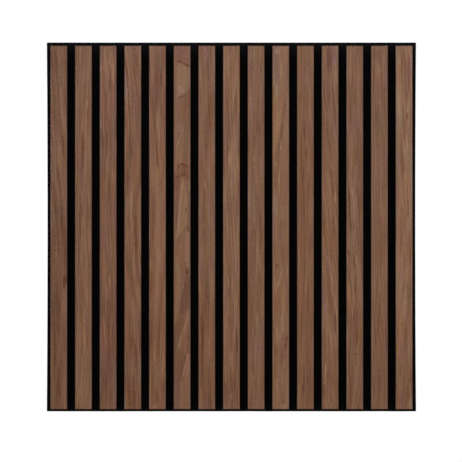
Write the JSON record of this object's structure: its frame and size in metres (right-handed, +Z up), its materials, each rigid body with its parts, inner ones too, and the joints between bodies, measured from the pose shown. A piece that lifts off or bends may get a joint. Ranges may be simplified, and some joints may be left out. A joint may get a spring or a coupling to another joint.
{
  "type": "acoustic slat wall panel",
  "caption": "Square acoustic wall panel: upright walnut-veneered slats with dark cores, stapled to a black felt board, with even dark gaps between them.",
  "frame": {"origin": "middle of the felt board's back face, the face that meets the wall", "axes": "+Y out of the back face into the wall, +Z up along the slats, +X to the right as seen from the room; the slats face -Y"},
  "size_m": [0.6, 0.021, 0.6],
  "materials": {
    "felt": "needled polyester felt, black, matt",
    "core": "black-dyed fibreboard, matt",
    "veneer": "walnut veneer, matt lacquer, grain along the slat",
    "staple": "galvanised flat wire"
  },
  "bodies": {
    "root": {"felt_backing": "felt", "slat_core_01": "core", "slat_core_02": "core", "slat_core_03": "core", "slat_core_04": "core", "slat_core_05": "core", "slat_core_06": "core", "slat_core_07": "core", "slat_core_08": "core", "slat_core_09": "core", "slat_core_10": "core", "slat_core_11": "core", "slat_core_12": "core", "slat_core_13": "core", "slat_core_14": "core", "slat_core_15": "core", "slat_veneer_01": "veneer", "slat_veneer_02": "veneer", "slat_veneer_03": "veneer", "slat_veneer_04": "veneer", "slat_veneer_05": "veneer", "slat_veneer_06": "veneer", "slat_veneer_07": "veneer", "slat_veneer_08": "veneer", "slat_veneer_09": "veneer", "slat_veneer_10": "veneer", "slat_veneer_11": "veneer", "slat_veneer_12": "veneer", "slat_veneer_13": "veneer", "slat_veneer_14": "veneer", "slat_veneer_15": "veneer", "backing_staples": "staple"}
  },
  "joints": []
}
